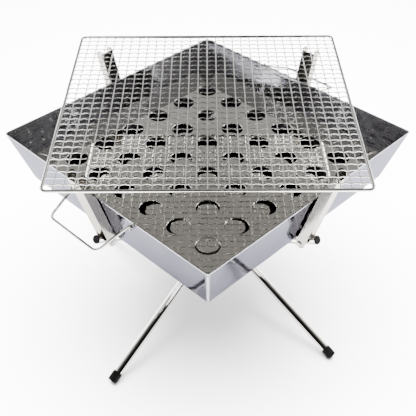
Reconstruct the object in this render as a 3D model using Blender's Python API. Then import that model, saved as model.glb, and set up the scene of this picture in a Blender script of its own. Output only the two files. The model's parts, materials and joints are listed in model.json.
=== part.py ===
"""Folding camp grill: a square steel fire tray carried by a folding four-legged stand.

Frame: metres, +Z up, the origin on the ground under the tray's centre. The tray stands with one
corner towards -Y, so its four sides face front-left, front-right, rear-right and rear-left. The
cooking net lies square to X and Y. The stand is a small hub with four tubes that pass it on
its four faces. Each tube runs from a foot on one side to a hinged upright on the opposite side.
"""
import math

import bmesh
import bpy
from mathutils import Matrix, Vector

# Sides of the tray, by the heading of their outward normal about +Z
SIDE_HEADINGS = {
    "front_left": math.radians(225.0),
    "front_right": math.radians(315.0),
    "rear_right": math.radians(45.0),
    "rear_left": math.radians(135.0),
}
HANDLE_SIDES = ("front_left", "rear_right")

GAP = 0.0003                  # clearance between pieces that touch
BORE_GAP = 0.0003             # radial clearance of a pin in its hole
SMOOTH_ANGLE = math.radians(38.0)

# Stand: each tube lies in a vertical plane that passes the hub's axis at LEG_OFFSET
LEG_OFFSET = 0.0150
LEG_SKEW = math.radians(3.88)     # turn of a tube's plane from the side's normal
FOOT_REACH = 0.2185               # hub axis to the end of the foot, along the plane
FOOT_END_Z = 0.0055
PIN_REACH = 0.1708                # hub axis to the upright's pin, along the plane
PIN_Z = 0.2186
TOP_REACH = 0.1912                # hub axis to the tube's upper end, along the plane
LEG_PITCH = math.atan2(PIN_Z - FOOT_END_Z, FOOT_REACH + PIN_REACH)
HUB_Z = FOOT_END_Z + FOOT_REACH * math.tan(LEG_PITCH)

TUBE_RADIUS = 0.00575
TUBE_WALL = 0.0010
TUBE_SIDES = 16
FOOT_RADIUS = 0.0069
FOOT_LENGTH = 0.0150
FOOT_FLOOR = 0.0030
FOOT_EDGE = 0.0012
PLUG_FACE = 0.0016
PLUG_DEPTH = 0.0080

PIN_RADIUS = 0.0020
HEAD_RADIUS = 0.0037
HEAD_THICKNESS = 0.0015
PIN_SIDES = 12

HUB_HALF = LEG_OFFSET - TUBE_RADIUS - 0.0004
HUB_HEIGHT = 0.0240
HUB_BORE_DEPTH = 0.0058

# Uprights: folded channels, web outwards, that lean out like the tray's walls
UPRIGHT_LEAN = math.radians(16.5)
CHANNEL_HALF = 0.0100
CHANNEL_STEEL = 0.0012
CHANNEL_INNER = -0.0046           # flange edge, measured outwards from the pin
CHANNEL_OUTER = 0.0074            # web's outer face, measured outwards from the pin
CHANNEL_TOP = 0.1266
WEB_START = 0.0162
WEB_END = 0.1180
ARC_STEPS = 8

# Fire tray
BOTTOM_HALF = 0.1660
RIM_HALF = 0.1875
RIM_Z = 0.2961
TRAY_STEEL = 0.0010
HEM_DEPTH = 0.0070
HEM_THICKNESS = 0.0018
BOTTOM_CORNER = 0.0030
RIM_CORNER = 0.0045
CORNER_STEPS = 4
EDGE_REACH = (BOTTOM_HALF - LEG_OFFSET * math.sin(LEG_SKEW)) / math.cos(LEG_SKEW)
TRAY_Z = HUB_Z + EDGE_REACH * math.tan(LEG_PITCH) + TUBE_RADIUS / math.cos(LEG_PITCH) + GAP
WALL_SLOPE = (RIM_HALF - BOTTOM_HALF) / (RIM_Z - TRAY_Z)

# Charcoal grate, held where the walls narrow
GRATE_HEIGHT = 0.0326             # grate's top above the tray's underside
GRATE_STEEL = 0.0012
GRATE_SKIRT = 0.0050
HOLE_COUNT = 6
HOLE_PITCH = 0.0494
HOLE_RADIUS = 0.0145
HOLE_SIDES = 12

# Cooking net
NET_HALF = 0.1825
NET_Z = 0.3410
NET_FRAME_RADIUS = 0.0020
NET_CORNER = 0.0060
NET_SIDES = 8
MESH_CELLS = 10
MESH_BAR = 0.0024
MESH_GAP = 0.0005
MESH_CHAMFER = 0.0011
MESH_THICKNESS = 0.0016

# Bail handles
HANDLE_WIRE = 0.00175
HANDLE_SIDES_ROUND = 8
HANDLE_REACH = 0.0465
HANDLE_DROOP = math.radians(20.8)
HANDLE_CENTRE = 0.0150            # along the side, from its middle
HANDLE_HALF_ROOT = 0.0510
HANDLE_HALF_GRIP = 0.0427
HANDLE_END = 0.0060
HANDLE_BEND = 0.0080
ROOT_BEND = 0.0030
LUG_DROP = 0.0042                 # handle's pivot below the rim
LUG_OUT = 0.0034                  # handle's pivot outside the wall
LUG_HALF = 0.0034
LUG_THICKNESS = 0.0015
LUG_SETBACK = 0.0036              # from the wire's bend to the lug's middle

MATERIALS = {
    "mirror_steel": ((0.74, 0.74, 0.75), 1.0, 0.12),
    "grate_steel": ((0.60, 0.58, 0.55), 1.0, 0.20),
    "chromed_steel": ((0.72, 0.70, 0.67), 1.0, 0.10),
    "bracket_steel": ((0.70, 0.67, 0.63), 1.0, 0.25),
    "wire_steel": ((0.62, 0.61, 0.59), 1.0, 0.22),
    "pin_steel": ((0.35, 0.34, 0.33), 1.0, 0.35),
    "black_rubber": ((0.02, 0.02, 0.02), 0.0, 0.60),
    "black_plastic": ((0.015, 0.015, 0.016), 0.0, 0.40),
}


def clear_scene():
    for existing in list(bpy.data.objects):
        bpy.data.objects.remove(existing, do_unlink=True)


def get_material(name):
    """The named finish, made once."""
    if name in bpy.data.materials:
        return bpy.data.materials[name]
    colour, metallic, roughness = MATERIALS[name]
    material = bpy.data.materials.new(name)
    material.use_nodes = True
    shader = material.node_tree.nodes["Principled BSDF"]
    shader.inputs["Base Color"].default_value = (*colour, 1.0)
    shader.inputs["Metallic"].default_value = metallic
    shader.inputs["Roughness"].default_value = roughness
    return material


def place(name, mesh, matrix, parent=None):
    """Links a mesh as an object that stands at a matrix in world space."""
    placed = bpy.data.objects.new(name, mesh)
    bpy.context.scene.collection.objects.link(placed)
    placed.matrix_world = matrix
    if parent is not None:
        bpy.context.view_layer.update()
        placed.parent = parent
        placed.matrix_parent_inverse = parent.matrix_world.inverted()
    return placed


def place_pivot(name, matrix):
    """An empty on a joint's axis, which carries that joint's moving pieces."""
    return place(name, None, matrix)


def finish_mesh(name, bm, material):
    """Turns a bmesh into a mesh with outward faces, smooth where it is round."""
    bmesh.ops.recalc_face_normals(bm, faces=bm.faces)
    mesh = bpy.data.meshes.new(name)
    bm.to_mesh(mesh)
    bm.free()
    mesh.materials.append(get_material(material))
    mesh.shade_smooth()
    mesh.set_sharp_from_angle(angle=SMOOTH_ANGLE)
    return mesh


def circle(radius, sides):
    """Points of a circle as pairs, anticlockwise from the first axis."""
    turn = 2.0 * math.pi / sides
    return [(radius * math.cos(turn * i), radius * math.sin(turn * i)) for i in range(sides)]


def arc(centre, radius, start, end, steps):
    """Points of an arc as pairs, both ends included."""
    angles = [start + (end - start) * i / steps for i in range(steps + 1)]
    return [(centre[0] + radius * math.cos(a), centre[1] + radius * math.sin(a)) for a in angles]


def loft(rings, closed=False):
    """Joins rings of equal count with quads, and caps both ends unless the rings form a loop."""
    bm = bmesh.new()
    rows = [[bm.verts.new(point) for point in ring] for ring in rings]
    count = len(rows[0])
    pairs = list(zip(rows, rows[1:]))
    if closed:
        pairs.append((rows[-1], rows[0]))
    for low, high in pairs:
        for i in range(count):
            j = (i + 1) % count
            bm.faces.new((low[i], low[j], high[j], high[i]))
    if not closed:
        bm.faces.new(rows[0])
        bm.faces.new(rows[-1])
    return bm


def turned(profile, sides, closed=False):
    """Revolves (x, radius) points about the local X axis."""
    rings = [[Vector((x, y, z)) for y, z in circle(radius, sides)] for x, radius in profile]
    return loft(rings, closed)


def swept(path, radius, sides, closed=False):
    """A round wire along a flat path in the local XY plane."""
    rings = []
    count = len(path)
    for i, point in enumerate(path):
        before = path[i - 1] if i > 0 or closed else point
        after = path[(i + 1) % count] if i < count - 1 or closed else point
        along = (after - before).normalized()
        across = Vector((-along.y, along.x, 0.0))
        rings.append([point + across * y + Vector((0.0, 0.0, z)) for y, z in circle(radius, sides)])
    return loft(rings, closed)


def filleted(points, radii, steps):
    """Rounds the corners of a flat path; a corner of radius 0 is left as it is."""
    path = []
    count = len(points)
    for i, point in enumerate(points):
        radius = radii[i]
        if radius == 0.0:
            path.append(point)
            continue
        towards_last = (points[i - 1] - point).normalized()
        towards_next = (points[(i + 1) % count] - point).normalized()
        half = towards_last.angle(towards_next) / 2.0
        setback = radius / math.tan(half)
        centre = point + (towards_last + towards_next).normalized() * (radius / math.sin(half))
        first = (point + towards_last * setback - centre).normalized()
        last = (point + towards_next * setback - centre).normalized()
        for step in range(steps + 1):
            path.append(centre + radius * first.slerp(last, step / steps))
    return path


def prism(outline, low, high):
    """Extrudes an (x, z) outline along the local Y axis."""
    return loft([[Vector((x, y, z)) for x, z in outline] for y in (low, high)])


def block(low, high):
    """A box between two corners."""
    outline = [(low[0], low[2]), (high[0], low[2]), (high[0], high[2]), (low[0], high[2])]
    return prism(outline, low[1], high[1])


def cross_cylinder(x, z, radius, low, high):
    """A cylinder along the local Y axis through (x, z)."""
    return prism([(x + a, z + b) for a, b in circle(radius, PIN_SIDES)], low, high)


def cut(mesh_name, bm, cutters, material):
    """Cuts each cutter out of a body, and returns the result as a mesh."""
    body = place(mesh_name + "_blank", finish_mesh(mesh_name + "_blank", bm, material), Matrix())
    tools = []
    for cutter in cutters:
        tool = place("cutter", finish_mesh("cutter", cutter, material), Matrix())
        tool.hide_render = True
        tool.display_type = "WIRE"
        boolean = body.modifiers.new("cut", "BOOLEAN")
        boolean.operation = "DIFFERENCE"
        boolean.solver = "EXACT"
        boolean.object = tool
        tools.append(tool)
    graph = bpy.context.evaluated_depsgraph_get()
    mesh = bpy.data.meshes.new_from_object(body.evaluated_get(graph))
    mesh.name = mesh_name
    for used in [body, *tools]:
        bpy.data.objects.remove(used, do_unlink=True)
    mesh.shade_smooth()
    mesh.set_sharp_from_angle(angle=SMOOTH_ANGLE)
    return mesh


def side_matrix(side):
    """Local X points out of a side of the tray, and local Y runs along it."""
    return Matrix.Rotation(SIDE_HEADINGS[side], 4, "Z")


def leg_plane(side):
    """Local X runs from the hub towards the upright on a side, in that tube's own plane."""
    turn = Matrix.Rotation(SIDE_HEADINGS[side] + LEG_SKEW, 4, "Z")
    return turn @ Matrix.Translation((0.0, -LEG_OFFSET, 0.0))


def leg_matrix(side):
    """The tube's frame: origin on the hub's pivot, local X up the tube."""
    return leg_plane(side) @ Matrix.Translation((0.0, 0.0, HUB_Z)) @ Matrix.Rotation(-LEG_PITCH, 4, "Y")


def upright_matrix(side):
    """The upright's frame: origin on its pin, local Z up the channel, local X out of its web."""
    pin = Matrix.Translation((PIN_REACH, 0.0, PIN_Z))
    return leg_plane(side) @ pin @ Matrix.Rotation(UPRIGHT_LEAN, 4, "Y")


def make_tube_mesh():
    """A round tube with cross holes for the hub's pin and the upright's pin."""
    foot_end = -FOOT_REACH / math.cos(LEG_PITCH) + FOOT_FLOOR + GAP
    top_end = TOP_REACH / math.cos(LEG_PITCH) - PLUG_FACE - GAP
    inner = TUBE_RADIUS - TUBE_WALL
    profile = [(foot_end, TUBE_RADIUS), (top_end, TUBE_RADIUS), (top_end, inner), (foot_end, inner)]
    reach = 2.0 * TUBE_RADIUS
    pin_x = PIN_REACH / math.cos(LEG_PITCH)
    holes = [cross_cylinder(x, 0.0, PIN_RADIUS + BORE_GAP, -reach, reach) for x in (0.0, pin_x)]
    return cut("leg_tube", turned(profile, TUBE_SIDES, closed=True), holes, "chromed_steel")


def make_foot_mesh(matrix):
    """A rubber cup over the tube's lower end, cut flat where it stands on the ground."""
    end = -FOOT_REACH / math.cos(LEG_PITCH)
    mouth = end + FOOT_LENGTH
    bore = TUBE_RADIUS + GAP
    profile = [
        (end + FOOT_FLOOR, bore),
        (mouth, bore),
        (mouth, FOOT_RADIUS - FOOT_EDGE),
        (mouth - FOOT_EDGE, FOOT_RADIUS),
        (end + FOOT_EDGE / 2.0, FOOT_RADIUS),
        (end, FOOT_RADIUS - FOOT_EDGE / 2.0),
    ]
    bm = turned(profile, TUBE_SIDES)
    ground_point = matrix.inverted() @ Vector((0.0, 0.0, 0.0))
    ground_up = matrix.inverted().to_3x3() @ Vector((0.0, 0.0, 1.0))
    geometry = bm.verts[:] + bm.edges[:] + bm.faces[:]
    sliced = bmesh.ops.bisect_plane(bm, geom=geometry, plane_co=ground_point, plane_no=-ground_up, clear_outer=True)
    rim = [part for part in sliced["geom_cut"] if isinstance(part, bmesh.types.BMEdge)]
    bmesh.ops.edgeloop_fill(bm, edges=rim)
    return finish_mesh("foot_cap", bm, "black_rubber")


def make_plug_mesh():
    """A plastic plug with a flat head that closes the tube's upper end."""
    end = TOP_REACH / math.cos(LEG_PITCH)
    stem = TUBE_RADIUS - TUBE_WALL - GAP
    shoulder = end - PLUG_FACE
    profile = [
        (shoulder - PLUG_DEPTH, stem * 0.8),
        (shoulder - PLUG_DEPTH * 0.8, stem),
        (shoulder, stem),
        (shoulder, TUBE_RADIUS),
        (end - PLUG_FACE / 2.0, TUBE_RADIUS),
        (end, TUBE_RADIUS - PLUG_FACE / 2.0),
    ]
    return finish_mesh("end_plug", turned(profile, TUBE_SIDES), "black_plastic")


def make_upright_mesh():
    """A folded channel: two flanges with round ends, and a web cut short at both ends."""
    half_depth = (CHANNEL_OUTER - CHANNEL_INNER) / 2.0
    middle = (CHANNEL_OUTER + CHANNEL_INNER) / 2.0
    top = arc((middle, CHANNEL_TOP - half_depth), half_depth, 0.0, math.pi, ARC_STEPS)
    bottom = arc((middle, 0.0), half_depth, math.pi, 2.0 * math.pi, ARC_STEPS)
    bm = prism(top + bottom, -CHANNEL_HALF, CHANNEL_HALF)
    inside = CHANNEL_HALF - CHANNEL_STEEL
    past = 2.0 * CHANNEL_OUTER
    low_end = -2.0 * half_depth
    high_end = CHANNEL_TOP + half_depth
    hollow = block((-past, -inside, low_end), (CHANNEL_OUTER - CHANNEL_STEEL, inside, high_end))
    lower_notch = block((0.0, -inside, low_end - half_depth), (past, inside, WEB_START))
    upper_notch = block((0.0, -inside, WEB_END), (past, inside, high_end + half_depth))
    hole = cross_cylinder(0.0, 0.0, PIN_RADIUS + BORE_GAP, -2.0 * CHANNEL_HALF, 2.0 * CHANNEL_HALF)
    return cut("upright", bm, [hollow, lower_notch, upper_notch, hole], "bracket_steel")


def make_upright_pin_mesh():
    """A headed pin through both flanges and the tube."""
    seat = CHANNEL_HALF + GAP
    end = seat + HEAD_THICKNESS
    edge = HEAD_THICKNESS / 2.0
    half = [(seat, PIN_RADIUS), (seat, HEAD_RADIUS), (end - edge, HEAD_RADIUS), (end, HEAD_RADIUS - edge)]
    profile = [(-x, radius) for x, radius in reversed(half)] + half
    bm = turned(profile, PIN_SIDES)
    bmesh.ops.rotate(bm, verts=bm.verts, matrix=Matrix.Rotation(math.pi / 2.0, 3, "Z"))
    return finish_mesh("upright_pin", bm, "pin_steel")


def make_hub_pin_mesh():
    """A headed pin from outside the tube into the hub, pointing along local +Y."""
    seat = TUBE_RADIUS + GAP
    tip = LEG_OFFSET - HUB_HALF + HUB_BORE_DEPTH - GAP
    edge = HEAD_THICKNESS / 2.0
    profile = [
        (-seat - HEAD_THICKNESS, HEAD_RADIUS - edge),
        (-seat - edge, HEAD_RADIUS),
        (-seat, HEAD_RADIUS),
        (-seat, PIN_RADIUS),
        (tip - edge, PIN_RADIUS),
        (tip, PIN_RADIUS - edge),
    ]
    bm = turned(profile, PIN_SIDES)
    bmesh.ops.rotate(bm, verts=bm.verts, matrix=Matrix.Rotation(math.pi / 2.0, 3, "Z"))
    return finish_mesh("hub_pin", bm, "pin_steel")


def build_hub():
    """A square block with a blind hole in each face for a tube's pivot pin."""
    half_height = HUB_HEIGHT / 2.0
    bm = block((-HUB_HALF, -HUB_HALF, HUB_Z - half_height), (HUB_HALF, HUB_HALF, HUB_Z + half_height))
    holes = []
    for quarter in range(len(SIDE_HEADINGS)):
        hole = cross_cylinder(0.0, HUB_Z, PIN_RADIUS + BORE_GAP, -2.0 * HUB_HALF, HUB_BORE_DEPTH - HUB_HALF)
        bmesh.ops.rotate(hole, verts=hole.verts, matrix=Matrix.Rotation(quarter * math.pi / 2.0, 3, "Z"))
        holes.append(hole)
    heading = SIDE_HEADINGS["front_left"] + LEG_SKEW
    place("stand_hub", cut("stand_hub", bm, holes, "bracket_steel"), Matrix.Rotation(heading, 4, "Z"))


def build_stand():
    """The hub, and on each side its tube with cap, foot and pins, and its hinged upright."""
    build_hub()
    tube_mesh = make_tube_mesh()
    plug_mesh = make_plug_mesh()
    upright_mesh = make_upright_mesh()
    upright_pin_mesh = make_upright_pin_mesh()
    hub_pin_mesh = make_hub_pin_mesh()
    foot_mesh = make_foot_mesh(leg_matrix("front_left"))
    for side in SIDE_HEADINGS:
        leg = place_pivot("leg_pivot_" + side, leg_matrix(side))
        place("hub_pin_" + side, hub_pin_mesh, leg_matrix(side))
        place("leg_tube_" + side, tube_mesh, leg_matrix(side), leg)
        place("foot_cap_" + side, foot_mesh, leg_matrix(side), leg)
        place("end_plug_" + side, plug_mesh, leg_matrix(side), leg)
        hinge = place("upright_pivot_" + side, None, upright_matrix(side), leg)
        place("upright_" + side, upright_mesh, upright_matrix(side), hinge)
        place("upright_pin_" + side, upright_pin_mesh, upright_matrix(side), hinge)


def square_ring(half, z, corner):
    """A level square with round corners, its sides facing the four side headings."""
    inset = half - corner
    points = []
    for quarter in range(4):
        start = quarter * math.pi / 2.0
        turn = Matrix.Rotation(start, 2)
        centre = turn @ Vector((inset, inset))
        points += arc(centre, corner, start, start + math.pi / 2.0, CORNER_STEPS)
    turn = Matrix.Rotation(SIDE_HEADINGS["rear_right"], 3, "Z")
    return [turn @ Vector((x, y, z)) for x, y in points]


def wall_half(z):
    """Half the tray's width over its outer faces at a height."""
    return BOTTOM_HALF + WALL_SLOPE * (z - TRAY_Z)


def wall_corner(z):
    """The tray's outer corner radius at a height."""
    share = (z - TRAY_Z) / (RIM_Z - TRAY_Z)
    return BOTTOM_CORNER + (RIM_CORNER - BOTTOM_CORNER) * share


def wall_ring(z, inset):
    """A ring on the tray's wall at a height, set in from its outer face."""
    return square_ring(wall_half(z) - inset, z, max(wall_corner(z) - inset, 0.0008))


def build_tray():
    """The folded sheet tray, with a hem turned down inside its rim."""
    slant = TRAY_STEEL * math.hypot(1.0, WALL_SLOPE)
    hem_z = RIM_Z - HEM_DEPTH
    rings = [
        wall_ring(TRAY_Z, 0.0),
        wall_ring(RIM_Z - HEM_THICKNESS / 2.0, 0.0),
        wall_ring(RIM_Z, HEM_THICKNESS / 3.0),
        wall_ring(RIM_Z, HEM_THICKNESS * 2.0 / 3.0),
        wall_ring(RIM_Z - HEM_THICKNESS / 2.0, HEM_THICKNESS),
        wall_ring(hem_z, HEM_THICKNESS),
        wall_ring(hem_z, slant),
        wall_ring(TRAY_Z + TRAY_STEEL, slant),
    ]
    tray = place("fire_tray", finish_mesh("fire_tray", loft(rings), "mirror_steel"), Matrix())
    return tray


def build_grate():
    """The perforated plate, its edges turned down against the sloping walls."""
    top = TRAY_Z + GRATE_HEIGHT
    inset = TRAY_STEEL * math.hypot(1.0, WALL_SLOPE) + GAP
    inner = inset + GRATE_STEEL * math.hypot(1.0, WALL_SLOPE)
    bm = loft([
        wall_ring(top - GRATE_STEEL, inner),
        wall_ring(top - GRATE_SKIRT, inner),
        wall_ring(top - GRATE_SKIRT, inset),
        wall_ring(top - GRATE_STEEL / 2.0, inset),
        wall_ring(top, inset + GRATE_STEEL / 2.0),
    ])
    holes = bmesh.new()
    first = -(HOLE_COUNT - 1) * HOLE_PITCH / 2.0
    turn = Matrix.Rotation(SIDE_HEADINGS["rear_right"], 3, "Z")
    for row in range(HOLE_COUNT):
        for column in range(HOLE_COUNT):
            centre = turn @ Vector((first + column * HOLE_PITCH, first + row * HOLE_PITCH, top))
            bmesh.ops.create_cone(
                holes,
                cap_ends=True,
                segments=HOLE_SIDES,
                radius1=HOLE_RADIUS,
                radius2=HOLE_RADIUS,
                depth=4.0 * GRATE_STEEL,
                matrix=Matrix.Translation(centre),
            )
    place("charcoal_grate", cut("charcoal_grate", bm, [holes], "grate_steel"), Matrix())


def build_net():
    """The cooking net: a thick wire frame, and a mesh panel that fills it."""
    half = NET_HALF - NET_FRAME_RADIUS
    corners = [Vector((x, y, 0.0)) for x, y in ((half, -half), (half, half), (-half, half), (-half, -half))]
    path = filleted(corners, [NET_CORNER] * len(corners), CORNER_STEPS)
    frame = finish_mesh("net_frame", swept(path, NET_FRAME_RADIUS, NET_SIDES, closed=True), "wire_steel")
    place("net_frame", frame, Matrix.Translation((0.0, 0.0, NET_Z)))

    edge = half - NET_FRAME_RADIUS - MESH_GAP
    pitch = (2.0 * edge - MESH_BAR) / MESH_CELLS
    lines = []
    for bar in range(MESH_CELLS + 1):
        start = -edge + bar * pitch
        lines += [start, start + MESH_BAR]
    bm = bmesh.new()
    grid = [[bm.verts.new((x, y, -MESH_THICKNESS / 2.0)) for y in lines] for x in lines]
    for corner in (grid[0][0], grid[0][-1], grid[-1][0], grid[-1][-1]):
        corner.co.x -= math.copysign(MESH_CHAMFER, corner.co.x)
        corner.co.y -= math.copysign(MESH_CHAMFER, corner.co.y)
    for i in range(len(lines) - 1):
        for j in range(len(lines) - 1):
            if i % 2 and j % 2:
                continue
            bm.faces.new((grid[i][j], grid[i + 1][j], grid[i + 1][j + 1], grid[i][j + 1]))
    raised = bmesh.ops.extrude_face_region(bm, geom=bm.faces[:])
    lifted = [part for part in raised["geom"] if isinstance(part, bmesh.types.BMVert)]
    bmesh.ops.translate(bm, verts=lifted, vec=(0.0, 0.0, MESH_THICKNESS))
    place("net_mesh", finish_mesh("net_mesh", bm, "wire_steel"), Matrix.Translation((0.0, 0.0, NET_Z)))


def handle_matrix(side):
    """The handle's frame: origin on its pivot, local X out of the side, local Y along it."""
    z = RIM_Z - LUG_DROP
    pivot = Matrix.Translation((wall_half(z) + LUG_OUT, HANDLE_CENTRE, z))
    return side_matrix(side) @ pivot


def build_handles():
    """A wire bail on two opposite sides, each hung from two lugs below the rim."""
    root = HANDLE_HALF_ROOT
    grip = HANDLE_HALF_GRIP
    outline = [
        Vector((0.0, root + HANDLE_END, 0.0)),
        Vector((0.0, root, 0.0)),
        Vector((HANDLE_REACH, grip, 0.0)),
        Vector((HANDLE_REACH, -grip, 0.0)),
        Vector((0.0, -root, 0.0)),
        Vector((0.0, -root - HANDLE_END, 0.0)),
    ]
    bends = [0.0, ROOT_BEND, HANDLE_BEND, HANDLE_BEND, ROOT_BEND, 0.0]
    path = filleted(outline, bends, CORNER_STEPS)
    wire = finish_mesh("handle", swept(path, HANDLE_WIRE, HANDLE_SIDES_ROUND), "wire_steel")

    half = LUG_THICKNESS / 2.0
    bm = block((GAP - LUG_OUT, -half, -LUG_HALF), (LUG_HALF, half, LUG_HALF))
    hole = cross_cylinder(0.0, 0.0, HANDLE_WIRE + BORE_GAP, -LUG_HALF, LUG_HALF)
    for vert in bm.verts:
        if vert.co.x < 0.0:
            vert.co.x += WALL_SLOPE * vert.co.z
    lug_mesh = cut("handle_lug", bm, [hole], "bracket_steel")

    droop = Matrix.Rotation(HANDLE_DROOP, 4, "Y")
    for side in HANDLE_SIDES:
        place("handle_" + side, wire, handle_matrix(side) @ droop)
        for end, sign in (("left", -1.0), ("right", 1.0)):
            offset = Matrix.Translation((0.0, sign * (root + LUG_SETBACK), 0.0))
            place("handle_lug_" + side + "_" + end, lug_mesh, handle_matrix(side) @ offset)


clear_scene()
build_stand()
build_tray()
build_grate()
build_net()
build_handles()
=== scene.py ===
"""Visual model of the folding camp grill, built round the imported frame.

Heights and the net's width come from the frame's boxes. The tray's and the grate's other sizes
repeat the solid model's, because a box does not hold them. Sizes are in metres, +Z is up, and the
fire tray stands with one corner towards -Y.
"""
import json
import math

import bmesh
import bpy
from mathutils import Matrix, Vector


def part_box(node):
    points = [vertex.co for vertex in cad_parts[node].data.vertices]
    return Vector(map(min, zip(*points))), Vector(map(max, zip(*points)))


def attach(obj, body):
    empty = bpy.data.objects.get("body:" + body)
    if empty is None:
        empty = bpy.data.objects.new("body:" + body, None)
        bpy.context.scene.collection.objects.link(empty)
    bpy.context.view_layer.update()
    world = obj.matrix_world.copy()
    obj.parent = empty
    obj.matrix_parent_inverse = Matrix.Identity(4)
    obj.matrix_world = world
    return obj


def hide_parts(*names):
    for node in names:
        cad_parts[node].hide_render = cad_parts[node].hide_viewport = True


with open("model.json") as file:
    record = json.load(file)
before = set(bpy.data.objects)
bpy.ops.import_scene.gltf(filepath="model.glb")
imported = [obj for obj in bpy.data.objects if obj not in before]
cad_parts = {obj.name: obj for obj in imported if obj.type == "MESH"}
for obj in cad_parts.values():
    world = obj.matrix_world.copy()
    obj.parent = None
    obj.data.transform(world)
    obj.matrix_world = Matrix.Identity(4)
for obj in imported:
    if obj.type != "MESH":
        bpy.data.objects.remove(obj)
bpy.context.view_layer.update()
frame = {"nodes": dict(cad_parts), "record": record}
NODES = frame["nodes"]
SIDES = ("front_left", "front_right", "rear_right", "rear_left")
UP = Vector((0.0, 0.0, 1.0))

TRAY_LOW, TRAY_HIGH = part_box("fire_tray")
GRATE_LOW, GRATE_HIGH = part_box("charcoal_grate")
FRAME_LOW, FRAME_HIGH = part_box("net_frame")

# Fire tray, as in the solid model
TRAY_TURN = math.radians(45.0)     # the tray's sides against the net's
RIM_HALF = 0.1875
BOTTOM_HALF = 0.1660
RIM_CORNER = 0.0045
BOTTOM_CORNER = 0.0030
SHEET = 0.0010
HEM_DEPTH = 0.0070
HEM_THICKNESS = 0.0018
WALL_SLOPE = (RIM_HALF - BOTTOM_HALF) / (TRAY_HIGH.z - TRAY_LOW.z)
SLANTED_SHEET = SHEET * math.hypot(1.0, WALL_SLOPE)     # the wall's thickness, measured level

# Fire tray, fine shape
FLOOR_BEND = 0.0022                # bend between the walls and the floor
FLOOR_MARGIN = 4.0 * FLOOR_BEND    # from the wall to the inner edge of a flat ring
BEND_SHARE = 0.25                  # how far along the bend its middle ring lies
LEAST_CORNER = 0.0008
HEM_STEPS = 8                      # round the rolled rim
HEM_LIP = 0.0006                   # height of the bevel on the hem's raw edge
HEM_BEVEL = 0.0004
SEAM_STEPS = 8
SEAM_START = 0.004                 # from the floor to the foot of a corner seam
SEAM_SHORT = 0.009                 # how much shorter than the wall a seam is
SEAM_HALF = 0.0007                 # half its width
SEAM_SUNK = 0.0006                 # how deep its sides go into the corner
SEAM_PROUD = 0.0004
SEAM_CROWN = 0.6                   # width of its flat top against its foot

# Charcoal grate, as in the solid model
HOLE_COUNT = 6
HOLE_PITCH = 0.0494
HOLE_RADIUS = 0.0145
GRATE_SHEET = 0.0012
TRAY_GAP = 0.0003

# Charcoal grate, fine shape
HOLE_STEPS = 12                    # points on each quarter of a hole
HOLE_EDGE = 0.0006                 # bevel at a hole's mouth
GRATE_BEND = 0.0014                # bend between the plate and its turned-down edges
GRATE_BEND_SHARE = 0.3
GRATE_CORNER = 0.001               # least corner radius
SKIRT_BEVEL = 0.0004
SKIRT_DROP = 0.0002
WELD = 0.00002                     # points nearer than this become one

# Cooking net
NET_CORNER = 0.0065
NET_SLIM = 0.97                    # rim wire against the solid model's
RIM_SIDES = 14
MESH_CELLS = 30
MESH_WIRE = 0.00072                # radius of a mesh wire
MESH_SIDES = 8
MESH_LIFT = 0.0004                 # straight wires above the middle of the rim wire
CRIMP_STEPS = 8                    # points along one wave
CRIMP_RISE = MESH_WIRE * 0.85      # half a wave's height

# Softened edges of nodes that stay
UPRIGHT_BEVEL = 0.00035
FOOT_BEVEL = 0.0004
SHARP_ANGLE = math.radians(35.0)

# Setting
FLOOR_HALF = 6.0
LIGHT_AIM = Vector((0.0, 0.0, 0.2))
BACKDROP_STRENGTH = 3.0
CAMERA_PLACE = (0.0006, -0.8150, 0.8397)
CAMERA_PAN = math.radians(0.02)
CAMERA_TILT = math.radians(50.51)
CAMERA_ROLL = math.radians(-0.26)
SENSOR_WIDTH = 36.0                # in millimetres, as is the lens
LENS = 64.76


# ---------------------------------------------------------------- node helpers

def map_range(tree, value, over, between):
    """Maps a value from one range onto another, held at its ends."""
    node = tree.nodes.new("ShaderNodeMapRange")
    for index, number in enumerate((*over, *between), start=1):
        node.inputs[index].default_value = number
    tree.links.new(value, node.inputs[0])
    return node.outputs[0]


def colour_ramp(tree, value, stops):
    """Colours along a value, from stops of a position and a colour."""
    node = tree.nodes.new("ShaderNodeValToRGB")
    elements = node.color_ramp.elements
    while len(elements) < len(stops):
        elements.new(0.5)
    for element, (position, colour) in zip(elements, stops):
        element.position = position
        element.color = (*colour, 1.0)
    tree.links.new(value, node.inputs["Fac"])
    return node.outputs["Color"]


def maths(tree, kind, operation, *values):
    """A Math or Vector Math node on the values given."""
    node = tree.nodes.new(kind)
    node.operation = operation
    for value, socket in zip(values, node.inputs):
        tree.links.new(value, socket)
    return node.outputs[0]


# ---------------------------------------------------------------- materials

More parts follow.
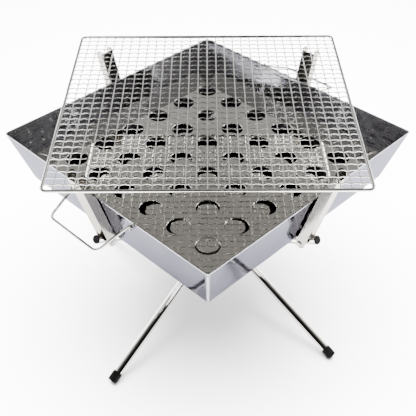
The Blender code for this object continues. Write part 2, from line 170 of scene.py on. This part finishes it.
class Graph:
    """One material, and the nodes that its looks are made of."""

    def __init__(self, name, metallic):
        self.material = bpy.data.materials.new(name)
        self.material.use_nodes = True
        self.tree = self.material.node_tree
        self.shader = self.tree.nodes["Principled BSDF"]
        self.shader.inputs["Metallic"].default_value = metallic
        self.coords = self.tree.nodes.new("ShaderNodeTexCoord")
        self.last_bump = None

    def link(self, source, target):
        self.tree.links.new(source, target)

    def noise(self, scale, detail, stretch=(1.0, 1.0, 1.0), turn=0.0, distortion=0.0):
        """Noise in object coordinates; stretch above 1 packs it tighter on that axis."""
        mapping = self.tree.nodes.new("ShaderNodeMapping")
        mapping.inputs["Scale"].default_value = stretch
        mapping.inputs["Rotation"].default_value = (0.0, 0.0, turn)
        self.link(self.coords.outputs["Object"], mapping.inputs["Vector"])
        texture = self.tree.nodes.new("ShaderNodeTexNoise")
        texture.inputs["Scale"].default_value = scale
        texture.inputs["Detail"].default_value = detail
        texture.inputs["Distortion"].default_value = distortion
        self.link(mapping.outputs["Vector"], texture.inputs["Vector"])
        return texture.outputs["Fac"]

    def pebble(self, scale):
        """Cell distance, small at the middle of each cell."""
        texture = self.tree.nodes.new("ShaderNodeTexVoronoi")
        texture.inputs["Scale"].default_value = scale
        self.link(self.coords.outputs["Object"], texture.inputs["Vector"])
        return texture.outputs["Distance"]

    def edge_tint(self, colour):
        """Tint of a metal seen at a glancing angle."""
        self.shader.inputs["Specular Tint"].default_value = (*colour, 1.0)

    def colours(self, value, stops):
        self.link(colour_ramp(self.tree, value, stops), self.shader.inputs["Base Color"])

    def rough(self, value, over, between):
        self.link(map_range(self.tree, value, over, between), self.shader.inputs["Roughness"])

    def bump(self, height, strength, distance):
        """Adds a bump on top of those before it."""
        node = self.tree.nodes.new("ShaderNodeBump")
        node.inputs["Strength"].default_value = strength
        node.inputs["Distance"].default_value = distance
        self.link(height, node.inputs["Height"])
        if self.last_bump is not None:
            self.link(self.last_bump, node.inputs["Normal"])
        self.last_bump = node.outputs["Normal"]
        self.link(self.last_bump, self.shader.inputs["Normal"])


def mirror_steel():
    """Thin polished sheet: slow waves from the pressing, and faint polishing streaks."""
    graph = Graph("mirror_sheet", metallic=1.0)
    waves = graph.noise(scale=13.0, detail=1.0)
    streaks = graph.noise(scale=30.0, detail=4.0, stretch=(1.0, 1.0, 22.0))
    smears = graph.noise(scale=16.0, detail=3.0, distortion=0.6)
    graph.colours(smears, [(0.35, (0.43, 0.43, 0.455)), (0.65, (0.47, 0.47, 0.495))])
    graph.rough(streaks, over=(0.35, 0.70), between=(0.025, 0.085))
    graph.bump(waves, strength=0.16, distance=0.002)
    graph.bump(streaks, strength=0.03, distance=0.0003)
    return graph.material


def shaded_copy_of_sheet():
    """The same sheet outside, with a duller skin, painted darker and cooler than inside: painted shade
    on its reflections.
    """
    graph = Graph("outer_sheet_painted_shade", metallic=1.0)
    # painted shade: dark glancing tint and a dark, cool base, so the outer walls mirror darker than the
    # inside
    graph.edge_tint((0.26, 0.26, 0.28))
    waves = graph.noise(scale=11.0, detail=1.0)
    streaks = graph.noise(scale=28.0, detail=4.0, stretch=(1.0, 1.0, 20.0))
    smears = graph.noise(scale=14.0, detail=3.0, distortion=0.6)
    graph.colours(smears, [(0.35, (0.255, 0.255, 0.28)), (0.65, (0.285, 0.285, 0.31))])
    graph.rough(streaks, over=(0.35, 0.70), between=(0.05, 0.12))
    graph.bump(waves, strength=0.10, distance=0.002)
    graph.bump(streaks, strength=0.03, distance=0.0003)
    return graph.material


def grate_steel():
    """Flat plate with faint rolling marks."""
    graph = Graph("rolled_plate", metallic=1.0)
    streaks = graph.noise(scale=26.0, detail=4.0, stretch=(24.0, 1.0, 1.0), turn=TRAY_TURN)
    clouds = graph.noise(scale=9.0, detail=3.0)
    graph.colours(clouds, [(0.30, (0.55, 0.535, 0.50)), (0.70, (0.66, 0.64, 0.605))])
    graph.rough(streaks, over=(0.30, 0.70), between=(0.012, 0.045))
    graph.bump(clouds, strength=0.04, distance=0.002)
    graph.bump(streaks, strength=0.01, distance=0.0002)
    return graph.material


def chromed_tube():
    """Plated tube, slightly warm, with a fine unevenness."""
    graph = Graph("plated_tube", metallic=1.0)
    clouds = graph.noise(scale=40.0, detail=3.0)
    fine = graph.noise(scale=420.0, detail=2.0)
    graph.colours(clouds, [(0.30, (0.56, 0.53, 0.49)), (0.70, (0.64, 0.615, 0.575))])
    graph.rough(clouds, over=(0.30, 0.70), between=(0.04, 0.09))
    graph.bump(fine, strength=0.06, distance=0.0002)
    return graph.material


def bracket_steel():
    """Pressed sheet with a fine grain along its length."""
    graph = Graph("pressed_sheet", metallic=1.0)
    graph.edge_tint((0.60, 0.58, 0.55))
    grain = graph.noise(scale=160.0, detail=4.0, stretch=(6.0, 6.0, 0.6))
    clouds = graph.noise(scale=24.0, detail=2.0)
    graph.colours(clouds, [(0.30, (0.22, 0.205, 0.185)), (0.70, (0.29, 0.275, 0.25))])
    graph.rough(grain, over=(0.30, 0.70), between=(0.12, 0.24))
    graph.bump(grain, strength=0.12, distance=0.0003)
    return graph.material


def wire_steel():
    """Bright drawn wire."""
    graph = Graph("drawn_wire", metallic=1.0)
    clouds = graph.noise(scale=60.0, detail=3.0)
    fine = graph.noise(scale=700.0, detail=2.0)
    graph.colours(clouds, [(0.30, (0.56, 0.55, 0.53)), (0.70, (0.68, 0.67, 0.65))])
    graph.rough(fine, over=(0.30, 0.70), between=(0.10, 0.20))
    graph.bump(fine, strength=0.08, distance=0.0002)
    return graph.material


def pin_steel():
    """Dull rivet steel."""
    graph = Graph("rivet_steel", metallic=1.0)
    clouds = graph.noise(scale=180.0, detail=3.0)
    graph.colours(clouds, [(0.30, (0.24, 0.235, 0.23)), (0.70, (0.38, 0.37, 0.36))])
    graph.rough(clouds, over=(0.30, 0.70), between=(0.30, 0.50))
    graph.bump(clouds, strength=0.10, distance=0.0003)
    return graph.material


def black_rubber():
    """Matt moulded rubber with a fine pebble."""
    graph = Graph("moulded_rubber", metallic=0.0)
    graph.shader.inputs["Specular IOR Level"].default_value = 0.04
    scuffs = graph.noise(scale=90.0, detail=4.0)
    graph.colours(scuffs, [(0.40, (0.001, 0.001, 0.001)), (0.75, (0.004, 0.0039, 0.0038))])
    graph.rough(scuffs, over=(0.35, 0.70), between=(0.52, 0.72))
    graph.bump(graph.pebble(scale=900.0), strength=0.25, distance=0.0003)
    return graph.material


def black_plastic():
    """Satin moulded plastic."""
    graph = Graph("moulded_plastic", metallic=0.0)
    graph.shader.inputs["Specular IOR Level"].default_value = 0.04
    scuffs = graph.noise(scale=140.0, detail=3.0)
    graph.colours(scuffs, [(0.40, (0.002, 0.002, 0.002)), (0.75, (0.005, 0.005, 0.005))])
    graph.rough(scuffs, over=(0.35, 0.70), between=(0.32, 0.48))
    graph.bump(graph.pebble(scale=1400.0), strength=0.12, distance=0.0002)
    return graph.material


def floor_paper():
    """Pale matt paper."""
    graph = Graph("paper_floor", metallic=0.0)
    graph.shader.inputs["Base Color"].default_value = (0.93, 0.93, 0.93, 1.0)
    graph.shader.inputs["Roughness"].default_value = 0.85
    graph.bump(graph.noise(scale=60.0, detail=2.0), strength=0.02, distance=0.001)
    return graph.material


FINISHES = {
    "mirror_steel": mirror_steel(),
    "grate_steel": grate_steel(),
    "chromed_steel": chromed_tube(),
    "bracket_steel": bracket_steel(),
    "wire_steel": wire_steel(),
    "pin_steel": pin_steel(),
    "black_rubber": black_rubber(),
    "black_plastic": black_plastic(),
}


# ---------------------------------------------------------------- mesh helpers

def add_piece(name, bm, slot, body, replaced, sharp=35.0, more=()):
    """Makes a finished object from a bmesh, hangs it on its body and hides the CAD nodes it replaces.

    more holds further materials, for faces whose material index is above 0.
    """
    bmesh.ops.recalc_face_normals(bm, faces=bm.faces)
    mesh = bpy.data.meshes.new(name)
    bm.to_mesh(mesh)
    bm.free()
    mesh.materials.append(FINISHES[slot])
    for material in more:
        mesh.materials.append(material)
    mesh.shade_smooth()
    mesh.set_sharp_from_angle(angle=math.radians(sharp))
    piece = bpy.data.objects.new(name, mesh)
    bpy.context.scene.collection.objects.link(piece)
    weighted = piece.modifiers.new("flat_faces", "WEIGHTED_NORMAL")
    weighted.keep_sharp = True
    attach(piece, body)
    if replaced:
        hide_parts(*replaced)


def bridge(bm, low, high):
    """Quads between two closed rows of vertices."""
    faces = []
    for i, point in enumerate(low):
        j = (i + 1) % len(low)
        faces.append(bm.faces.new((point, low[j], high[j], high[i])))
    return faces


def bridge_all(bm, rows):
    """Quads between each closed row of vertices and the next, band by band."""
    return [bridge(bm, low, high) for low, high in zip(rows, rows[1:])]


def add_tube(bm, path, radius, sides, closed=False):
    """A round wire along a path, with flat ends unless it closes on itself."""
    rows = []
    count = len(path)
    for i, point in enumerate(path):
        before = path[i - 1] if i > 0 or closed else point
        after = path[(i + 1) % count] if i < count - 1 or closed else point
        along = (after - before).normalized()
        across = UP.cross(along).normalized()
        top = along.cross(across)
        row = []
        for k in range(sides):
            angle = 2.0 * math.pi * k / sides
            offset = across * math.cos(angle) + top * math.sin(angle)
            row.append(bm.verts.new(point + radius * offset))
        rows.append(row)
    bridge_all(bm, rows)
    if closed:
        bridge(bm, rows[-1], rows[0])
    else:
        bm.faces.new(rows[0])
        bm.faces.new(rows[-1])


def round_square(half, corner, z, turn, straight):
    """A level square ring with round corners, and points along its straight sides."""
    points = []
    inset = half - corner
    spin = Matrix.Rotation(turn, 3, "Z")
    steps = 10
    for quarter in range(4):
        local = Matrix.Rotation(quarter * math.pi / 2.0, 3, "Z")
        for step in range(steps + 1):
            angle = (math.pi / 2.0) * step / steps
            x = inset + corner * math.cos(angle)
            y = inset + corner * math.sin(angle)
            points.append(spin @ local @ Vector((x, y, z)))
        for step in range(1, straight):
            x = inset - 2.0 * inset * step / straight
            points.append(spin @ local @ Vector((x, half, z)))
    return points


def on_side(side, depth, along):
    """A point on one of a square's four sides, counted from +X anticlockwise."""
    return ((depth, along), (-along, depth), (-depth, -along), (along, -depth))[side]


# ---------------------------------------------------------------- fire tray

def tray_share(z):
    """How far up the tray a height is, from 0 at its underside to 1 at its rim."""
    return (z - TRAY_LOW.z) / (TRAY_HIGH.z - TRAY_LOW.z)


def tray_half(z):
    return BOTTOM_HALF + (RIM_HALF - BOTTOM_HALF) * tray_share(z)


def tray_corner(z):
    return BOTTOM_CORNER + (RIM_CORNER - BOTTOM_CORNER) * tray_share(z)


def build_tray():
    """Sloping walls with a folded hem inside the rim and a small bend at the floor."""
    low, high = TRAY_LOW.z, TRAY_HIGH.z
    inside, outside, floor = range(3)      # material indices
    rings = []

    def ring(z, inset):
        corner = max(tray_corner(z) - inset, LEAST_CORNER)
        rings.append(round_square(tray_half(z) - inset, corner, z, TRAY_TURN, straight=24))

    # Outside, from under the floor up the wall
    ring(low, FLOOR_MARGIN)
    ring(low, FLOOR_BEND)
    ring(low + FLOOR_BEND * BEND_SHARE, BEND_SHARE * FLOOR_BEND)
    ring(low + FLOOR_BEND, 0.0)
    for share in (0.2, 0.4, 0.6, 0.8):
        ring(low + (high - low) * share, 0.0)
    outside_bands = len(rings)

    # Over the rolled rim and down the hem
    roll = HEM_THICKNESS / 2.0
    for step in range(HEM_STEPS + 1):
        angle = math.pi * step / HEM_STEPS
        z = high - roll + roll * math.sin(angle)
        ring(z, roll - roll * math.cos(angle))
    ring(high - HEM_DEPTH + HEM_LIP, HEM_THICKNESS)
    ring(high - HEM_DEPTH, HEM_THICKNESS - HEM_BEVEL)
    ring(high - HEM_DEPTH, SLANTED_SHEET + HEM_BEVEL)

    # Inside, down the wall to the floor
    for share in (0.75, 0.5, 0.25):
        ring(low + (high - low) * share, SLANTED_SHEET)
    ring(low + SHEET + FLOOR_BEND, SLANTED_SHEET)
    ring(low + SHEET + FLOOR_BEND * BEND_SHARE, SLANTED_SHEET + BEND_SHARE * FLOOR_BEND)
    ring(low + SHEET, SLANTED_SHEET + FLOOR_BEND)
    ring(low + SHEET, SLANTED_SHEET + FLOOR_MARGIN)

    bm = bmesh.new()
    rows = [[bm.verts.new(point) for point in points] for points in rings]
    bands = bridge_all(bm, rows)
    for band in bands[:outside_bands]:
        for face in band:
            face.material_index = outside
    for face in bands[-1]:
        face.material_index = floor
    bm.faces.new(rows[0]).material_index = inside
    bm.faces.new(rows[-1]).material_index = floor
    # the outer walls get a darker copy of the sheet: painted shade on their reflections
    more = (shaded_copy_of_sheet(), FINISHES["grate_steel"])
    add_piece("tray_shell", bm, "mirror_steel", "tray_body", ["fire_tray"], sharp=40.0, more=more)


def build_corner_seams():
    """A narrow folded lap down each corner of the tray."""
    length = TRAY_HIGH.z - TRAY_LOW.z - SEAM_SHORT
    crown_half = SEAM_HALF * SEAM_CROWN
    for index, heading in enumerate((270.0, 0.0, 90.0, 180.0)):
        turn = Matrix.Rotation(math.radians(heading), 3, "Z")
        bm = bmesh.new()
        rows = []
        for step in range(SEAM_STEPS + 1):
            z = TRAY_LOW.z + SEAM_START + length * step / SEAM_STEPS
            corner = tray_corner(z)
            reach = (tray_half(z) - corner) * math.sqrt(2.0) + corner
            foot = reach - SEAM_SUNK
            crown = reach + SEAM_PROUD
            section = ((foot, -SEAM_HALF), (crown, -crown_half), (crown, crown_half), (foot, SEAM_HALF))
            rows.append([bm.verts.new(turn @ Vector((x, y, z))) for x, y in section])
        bridge_all(bm, rows)
        bm.faces.new(rows[0])
        bm.faces.new(rows[-1])
        add_piece("tray_seam_%d" % (index + 1), bm, "mirror_steel", "tray_body", [])


# ---------------------------------------------------------------- charcoal grate

def build_grate():
    """A plate with bevelled round holes, and edges turned down along the walls."""
    top = GRATE_HIGH.z
    under = top - GRATE_SHEET
    half_grid = HOLE_COUNT * HOLE_PITCH / 2.0
    spin = Matrix.Rotation(TRAY_TURN, 3, "Z")
    bm = bmesh.new()

    def at(x, y, z):
        return bm.verts.new(spin @ Vector((x, y, z)))

    def hole_ring(centre, radius, z):
        ring = []
        for step in range(4 * HOLE_STEPS):
            angle = -math.pi / 4.0 + step / HOLE_STEPS * math.pi / 2.0
            x = centre[0] + radius * math.cos(angle)
            y = centre[1] + radius * math.sin(angle)
            ring.append(at(x, y, z))
        return ring

    def square_ring(centre, half, steps, z):
        ring = []
        for side in range(4):
            for step in range(steps):
                x, y = on_side(side, half, -half + 2.0 * half * step / steps)
                ring.append(at(centre[0] + x, centre[1] + y, z))
        return ring

    def plate_ring(z, off):
        """The plate's outline with round corners, drawn in by off."""
        half = tray_half(z) - SLANTED_SHEET - TRAY_GAP - off
        corner = max(tray_corner(z) - off, GRATE_CORNER)
        inner = half - corner
        count = HOLE_COUNT * HOLE_STEPS
        ring = []
        for side in range(4):
            for step in range(count):
                along = (2.0 * step / count - 1.0) * half
                depth = half
                if abs(along) > inner:
                    over = (abs(along) - inner) / corner * math.pi / 4.0
                    depth = inner + corner * math.cos(over)
                    along = math.copysign(inner + corner * math.sin(over), along)
                x, y = on_side(side, depth, along)
                ring.append(at(x, y, z))
        return ring

    # One square of plate round each hole, above and below, and the hole's wall
    line = [-half_grid + (index + 0.5) * HOLE_PITCH for index in range(HOLE_COUNT)]
    for centre in [(x, y) for y in line for x in line]:
        for z_face, z_lip in ((top, top - HOLE_EDGE), (under, under + HOLE_EDGE)):
            square = square_ring(centre, HOLE_PITCH / 2.0, HOLE_STEPS, z_face)
            mouth = hole_ring(centre, HOLE_RADIUS + HOLE_EDGE, z_face)
            lip = hole_ring(centre, HOLE_RADIUS, z_lip)
            bridge_all(bm, [square, mouth, lip])
        wall_top = hole_ring(centre, HOLE_RADIUS, top - HOLE_EDGE)
        wall_foot = hole_ring(centre, HOLE_RADIUS, under + HOLE_EDGE)
        bridge(bm, wall_top, wall_foot)

    # Margin from the holes out to the edge, down it, and back underneath
    grid_steps = HOLE_COUNT * HOLE_STEPS
    skirt = GRATE_LOW.z
    bridge_all(bm, [
        square_ring((0.0, 0.0), half_grid, grid_steps, top),
        plate_ring(top, 4.0 * GRATE_BEND),
        plate_ring(top, GRATE_BEND),
        plate_ring(top - GRATE_BEND_SHARE * GRATE_BEND, GRATE_BEND_SHARE * GRATE_BEND),
        plate_ring(top - GRATE_BEND, 0.0),
        plate_ring(skirt, 0.0),
        plate_ring(skirt, GRATE_SHEET),
        plate_ring(under - SKIRT_DROP, GRATE_SHEET),
        plate_ring(under, GRATE_SHEET + SKIRT_BEVEL),
        square_ring((0.0, 0.0), half_grid, grid_steps, under),
    ])
    bmesh.ops.remove_doubles(bm, verts=bm.verts, dist=WELD)
    add_piece("grate_plate", bm, "grate_steel", "grate_body", ["charcoal_grate"], sharp=40.0)


# ---------------------------------------------------------------- cooking net

def build_net():
    """A closed rim wire, and a mesh of straight and crimped wires that end in it."""
    middle = (FRAME_LOW.z + FRAME_HIGH.z) / 2.0
    radius = (FRAME_HIGH.z - FRAME_LOW.z) / 2.0
    half = FRAME_HIGH.x - radius
    bm = bmesh.new()
    rim = round_square(half, NET_CORNER, middle, 0.0, straight=20)
    add_tube(bm, rim, radius * NET_SLIM, RIM_SIDES, closed=True)
    add_piece("net_rim_wire", bm, "wire_steel", "net_body", ["net_frame"])

    pitch = 2.0 * half / MESH_CELLS
    upper = middle + MESH_LIFT
    lower = upper - 2.0 * MESH_WIRE
    crimp_count = MESH_CELLS * CRIMP_STEPS
    bm = bmesh.new()
    for index in range(1, MESH_CELLS):
        line = -half + index * pitch
        straight = [Vector((line, -half + step * pitch, upper)) for step in range(MESH_CELLS + 1)]
        add_tube(bm, straight, MESH_WIRE, MESH_SIDES)
        crimped = []
        for step in range(crimp_count + 1):
            along = -half + 2.0 * half * step / crimp_count
            wave = 1.0 - math.cos(2.0 * math.pi * step / CRIMP_STEPS)
            crimped.append(Vector((along, line, lower + CRIMP_RISE * wave)))
        add_tube(bm, crimped, MESH_WIRE, MESH_SIDES)
    add_piece("net_weave", bm, "wire_steel", "net_body", ["net_mesh"], sharp=70.0)


# ---------------------------------------------------------------- nodes that stay

def soften(node, width):
    """Rounds a CAD node's edges without touching its mesh."""
    bevel = NODES[node].modifiers.new("edge", "BEVEL")
    bevel.width = width
    bevel.segments = 2
    bevel.limit_method = "ANGLE"
    bevel.angle_limit = SHARP_ANGLE
    bevel.harden_normals = False


def finish_nodes():
    """Gives each CAD node its own finish."""
    slots = {row["node"]: row["material_slot"] for row in frame["record"]["subparts"]}
    for name, node in NODES.items():
        node.data.materials.clear()
        node.data.materials.append(FINISHES[slots[name]])
        node.data.shade_smooth()
        node.data.set_sharp_from_angle(angle=SHARP_ANGLE)
    for side in SIDES:
        soften("upright_" + side, UPRIGHT_BEVEL)
        soften("foot_cap_" + side, FOOT_BEVEL)


# ---------------------------------------------------------------- setting

def build_floor():
    bm = bmesh.new()
    bmesh.ops.create_grid(bm, x_segments=1, y_segments=1, size=FLOOR_HALF)
    mesh = bpy.data.meshes.new("floor")
    bm.to_mesh(mesh)
    bm.free()
    mesh.materials.append(floor_paper())
    floor = bpy.data.objects.new("floor", mesh)
    bpy.context.scene.collection.objects.link(floor)


def build_lights():
    """Soft lights, none of them seen by the camera."""
    # name, place, width, height, power, and whether polished metal mirrors it
    lights = (
        ("overhead", (0.0, 0.2, 2.3), 2.4, 2.4, 1150.0, False),
        ("front_window", (-0.62, -2.3, 0.68), 0.55, 0.45, 5.0, True),
        ("right_strip", (2.1, 0.4, 1.1), 0.35, 1.4, 12.0, True),
    )
    for name, place, width, height, power, mirrored in lights:
        data = bpy.data.lights.new(name, "AREA")
        data.shape = "RECTANGLE"
        data.size = width
        data.size_y = height
        data.energy = power
        light = bpy.data.objects.new(name, data)
        light.location = place
        light.visible_glossy = mirrored
        light.visible_camera = False
        light.rotation_euler = (LIGHT_AIM - Vector(place)).to_track_quat("-Z", "Y").to_euler()
        bpy.context.scene.collection.objects.link(light)


def build_world():
    """A room for the metal to mirror, and a white backdrop that only the camera sees."""
    world = bpy.data.worlds.new("studio")
    bpy.context.scene.world = world
    world.use_nodes = True
    tree = world.node_tree
    coords = tree.nodes.new("ShaderNodeTexCoord")
    split = tree.nodes.new("ShaderNodeSeparateXYZ")
    tree.links.new(coords.outputs["Generated"], split.inputs[0])
    across, depth, height = split.outputs

    # Grey by height, darker towards the front
    greys = colour_ramp(tree, height, (
        (0.0, (0.03, 0.03, 0.03)),
        (0.22, (0.03, 0.03, 0.03)),
        (0.40, (0.45, 0.445, 0.44)),
        (0.54, (0.56, 0.555, 0.54)),
        (0.66, (0.34, 0.33, 0.315)),
        (0.80, (0.42, 0.415, 0.40)),
        (1.0, (0.60, 0.595, 0.58)),
    ))
    front = map_range(tree, depth, over=(-0.55, 0.10), between=(0.05, 1.0))
    room = maths(tree, "ShaderNodeVectorMath", "MULTIPLY", greys, front)

    # A bright panel at the back of each side
    side = maths(tree, "ShaderNodeMath", "ABSOLUTE", across)
    panel = map_range(tree, side, over=(0.34, 0.52), between=(0.0, 2.0))
    for value, over, between in (
        (depth, (0.12, 0.34), (0.0, 1.0)),
        (height, (0.02, 0.16), (0.0, 1.0)),
        (height, (0.58, 0.72), (1.0, 0.0)),
    ):
        fade = map_range(tree, value, over, between)
        panel = maths(tree, "ShaderNodeMath", "MULTIPLY", panel, fade)
    mirrored = tree.nodes["Background"]
    lit = maths(tree, "ShaderNodeVectorMath", "ADD", room, panel)
    tree.links.new(lit, mirrored.inputs["Color"])

    backdrop = tree.nodes.new("ShaderNodeBackground")
    backdrop.inputs["Color"].default_value = (1.0, 1.0, 1.0, 1.0)
    backdrop.inputs["Strength"].default_value = BACKDROP_STRENGTH
    rays = tree.nodes.new("ShaderNodeLightPath")
    mix = tree.nodes.new("ShaderNodeMixShader")
    tree.links.new(rays.outputs["Is Camera Ray"], mix.inputs[0])
    tree.links.new(mirrored.outputs[0], mix.inputs[1])
    tree.links.new(backdrop.outputs[0], mix.inputs[2])
    tree.links.new(mix.outputs[0], tree.nodes["World Output"].inputs["Surface"])


def build_camera():
    data = bpy.data.cameras.new("camera")
    data.sensor_width = SENSOR_WIDTH
    data.lens = LENS
    camera = bpy.data.objects.new("camera", data)
    camera.location = CAMERA_PLACE
    tilt = Matrix.Rotation(CAMERA_PAN, 4, "Z") @ Matrix.Rotation(CAMERA_TILT, 4, "X")
    camera.rotation_euler = (tilt @ Matrix.Rotation(CAMERA_ROLL, 4, "Z")).to_euler()
    bpy.context.scene.collection.objects.link(camera)
    bpy.context.scene.camera = camera


build_floor()
build_lights()
build_world()
build_camera()
finish_nodes()
build_tray()
build_corner_seams()
build_grate()
build_net()

bpy.context.view_layer.update()
